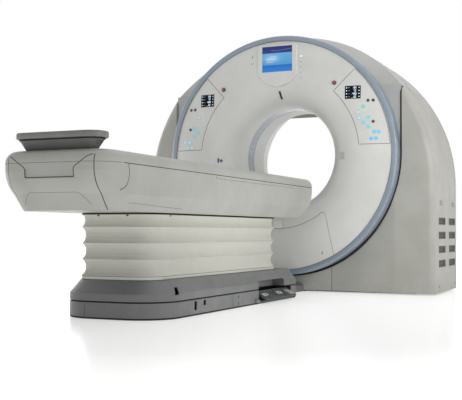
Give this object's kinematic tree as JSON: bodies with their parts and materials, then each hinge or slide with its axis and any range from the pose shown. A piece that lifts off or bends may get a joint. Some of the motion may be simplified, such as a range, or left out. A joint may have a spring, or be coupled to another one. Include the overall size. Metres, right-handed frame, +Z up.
{
  "type": "ct scanner",
  "caption": "Medical CT scanner: a round-bore gantry with a domed front disc, and a patient couch that lifts on a bellows-covered column and slides into the bore.",
  "frame": {"origin": "on the floor, under the middle of the machine's length and width", "axes": "+X to the right of somebody who looks into the bore from the couch, +Y from the couch's foot end into the gantry, +Z up"},
  "size_m": [2.32, 3.96, 1.99],
  "materials": {
    "cover": "satin",
    "stand": "satin",
    "base": "satin",
    "trim": "satin",
    "display": "gloss",
    "dark_plastic": "matte",
    "tray": "matte",
    "clear": "gloss",
    "red": "gloss",
    "frame_paint": "satin",
    "steel": "brushed",
    "aluminium": "machined",
    "contact_metal": "machined",
    "bellows": "matte",
    "couchtop": "satin",
    "pedal": "matte"
  },
  "bodies": {
    "stand": {"front_disc_cover": "cover", "entry_panel": "cover", "control_panel_right": "cover", "control_panel_left": "cover", "top_front_shell": "cover", "top_rear_shell": "cover", "screen_bezel": "cover", "bore_liner_front": "cover", "bore_liner_rear": "cover", "right_stand_cover": "stand", "left_stand_cover": "stand", "lower_front_cover": "stand", "rear_cover": "stand", "base_cover": "base", "base_skirt": "base", "floor_duct": "base", "trim_ring": "trim", "display_screen": "display", "panel_displays": "display", "right_vent_grilles": "dark_plastic", "left_vent_grilles": "dark_plastic", "emergency_stop_collars": "dark_plastic", "laser_windows": "clear", "scan_window": "clear", "gantry_frame": "frame_paint", "couch_base_plate": "frame_paint", "pedal_brackets": "frame_paint", "drive_stator": "steel", "bearing_outer_race": "steel", "column_outer": "steel", "brush_block": "contact_metal", "bellows": "bellows"},
    "rotor": {"rotor_drum": "aluminium", "bearing_inner_race": "steel", "slip_ring": "contact_metal", "xray_tube": "aluminium", "beam_collimator": "steel", "detector_array": "aluminium", "hv_generator": "aluminium", "cooling_unit": "aluminium"},
    "column_stage": {"column_middle": "steel"},
    "couch": {"couch_frame": "aluminium", "column_inner": "steel", "couch_lower_shell": "cover", "foot_end_cap": "cover", "couch_upper_cover": "cover"},
    "table_top": {"couchtop": "couchtop", "end_tray": "tray"},
    "lower_pedal_right": {"lower_pedal_right": "pedal"},
    "raise_pedal_right": {"raise_pedal_right": "pedal"},
    "emergency_stop_right": {"emergency_stop_right": "red"},
    "start_button_right": {"start_button_right": "dark_plastic"},
    "halt_button_right": {"halt_button_right": "dark_plastic"},
    "release_button_right": {"release_button_right": "dark_plastic"},
    "lower_pedal_left": {"lower_pedal_left": "pedal"},
    "raise_pedal_left": {"raise_pedal_left": "pedal"},
    "emergency_stop_left": {"emergency_stop_left": "red"},
    "start_button_left": {"start_button_left": "dark_plastic"},
    "halt_button_left": {"halt_button_left": "dark_plastic"},
    "release_button_left": {"release_button_left": "dark_plastic"}
  },
  "joints": [
    {"name": "rotor_spin", "type": "hinge", "parent": "stand", "child": "rotor", "pos_m": [0, 1.61, 1.04], "axis": [0, 1, 0], "continuous": true},
    {"name": "couch_lift", "type": "slide", "parent": "stand", "child": "couch", "axis": [0, 0, 1], "range_m": [-0.25, 0], "deforming": ["bellows"]},
    {"name": "column_stage_slide", "type": "slide", "parent": "stand", "child": "column_stage", "axis": [0, 0, 1], "range_m": [-0.125, 0]},
    {"name": "couchtop_slide", "type": "slide", "parent": "couch", "child": "table_top", "axis": [0, 1, 0], "range_m": [0, 1.7]},
    {"name": "lower_pedal_right_hinge", "type": "hinge", "parent": "stand", "child": "lower_pedal_right", "pos_m": [0.286, -0.013, 0.07], "axis": [0, 1, 0], "range_deg": [0, 8], "stiffness_Nm_per_rad": 20, "springref_deg": -8.59},
    {"name": "raise_pedal_right_hinge", "type": "hinge", "parent": "stand", "child": "raise_pedal_right", "pos_m": [0.286, 0.263, 0.07], "axis": [0, 1, 0], "range_deg": [0, 8], "stiffness_Nm_per_rad": 20, "springref_deg": -8.59},
    {"name": "emergency_stop_right_push", "type": "slide", "parent": "stand", "child": "emergency_stop_right", "axis": [0, 1, 0], "range_m": [0, 0.004], "stiffness_N_per_m": 1500, "springref_m": -0.002},
    {"name": "start_button_right_push", "type": "slide", "parent": "stand", "child": "start_button_right", "axis": [0, 1, 0], "range_m": [0, 0.002], "stiffness_N_per_m": 800, "springref_m": -0.002},
    {"name": "halt_button_right_push", "type": "slide", "parent": "stand", "child": "halt_button_right", "axis": [0, 1, 0], "range_m": [0, 0.002], "stiffness_N_per_m": 800, "springref_m": -0.002},
    {"name": "release_button_right_push", "type": "slide", "parent": "stand", "child": "release_button_right", "axis": [0, 1, 0], "range_m": [0, 0.002], "stiffness_N_per_m": 800, "springref_m": -0.002},
    {"name": "lower_pedal_left_hinge", "type": "hinge", "parent": "stand", "child": "lower_pedal_left", "pos_m": [-0.286, -0.013, 0.07], "axis": [0, -1, 0], "range_deg": [0, 8], "stiffness_Nm_per_rad": 20, "springref_deg": -8.59},
    {"name": "raise_pedal_left_hinge", "type": "hinge", "parent": "stand", "child": "raise_pedal_left", "pos_m": [-0.286, 0.263, 0.07], "axis": [0, -1, 0], "range_deg": [0, 8], "stiffness_Nm_per_rad": 20, "springref_deg": -8.59},
    {"name": "emergency_stop_left_push", "type": "slide", "parent": "stand", "child": "emergency_stop_left", "axis": [0, 1, 0], "range_m": [0, 0.004], "stiffness_N_per_m": 1500, "springref_m": -0.002},
    {"name": "start_button_left_push", "type": "slide", "parent": "stand", "child": "start_button_left", "axis": [0, 1, 0], "range_m": [0, 0.002], "stiffness_N_per_m": 800, "springref_m": -0.002},
    {"name": "halt_button_left_push", "type": "slide", "parent": "stand", "child": "halt_button_left", "axis": [0, 1, 0], "range_m": [0, 0.002], "stiffness_N_per_m": 800, "springref_m": -0.002},
    {"name": "release_button_left_push", "type": "slide", "parent": "stand", "child": "release_button_left", "axis": [0, 1, 0], "range_m": [0, 0.002], "stiffness_N_per_m": 800, "springref_m": -0.002}
  ],
  "couplings": [
    {"joint": "column_stage_slide", "follows": "couch_lift", "ratio": 0.5}
  ]
}
